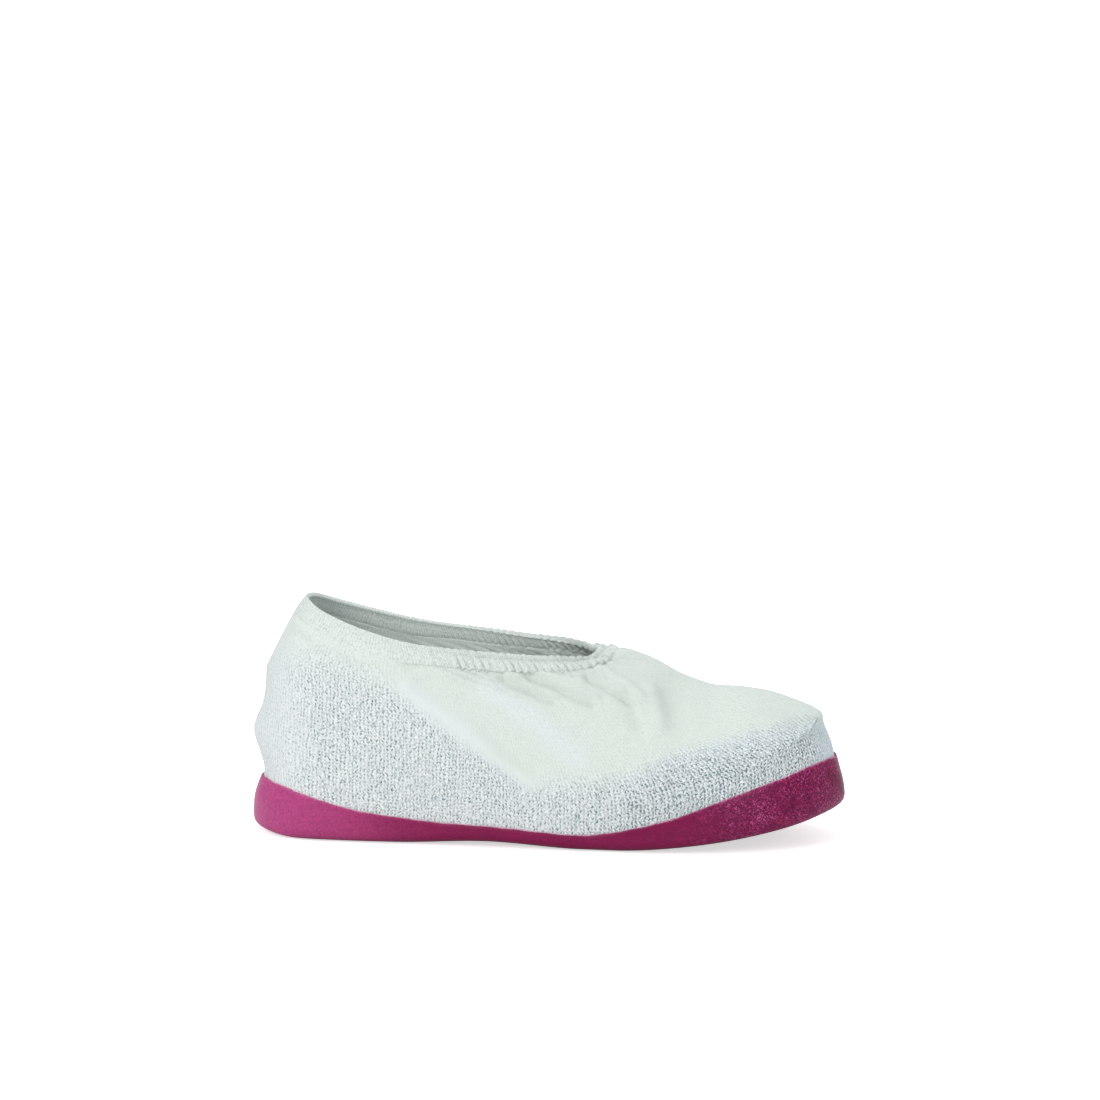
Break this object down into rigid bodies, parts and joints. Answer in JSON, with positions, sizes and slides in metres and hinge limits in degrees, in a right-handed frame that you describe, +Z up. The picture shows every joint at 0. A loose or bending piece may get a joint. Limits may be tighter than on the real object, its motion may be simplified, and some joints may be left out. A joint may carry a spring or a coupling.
{
  "type": "overshoe",
  "caption": "Slip-over knitted overshoe for the right foot, with a gathered elastic hem and a dipped rubber sole with a honeycomb tread.",
  "frame": {"origin": "on the floor, under the middle of the overshoe's box", "axes": "+X towards the toe, +Y towards the inner side of the right foot, +Z up"},
  "size_m": [0.31, 0.1056, 0.1248],
  "materials": {
    "knit": "off-white stockinette knit",
    "hem_knit": "off-white gathered knit",
    "sole_rubber": "raspberry red, satin to glossy, dipped"
  },
  "bodies": {
    "root": {"upper": "knit", "elastic_hem": "hem_knit", "sole": "sole_rubber"}
  },
  "joints": []
}
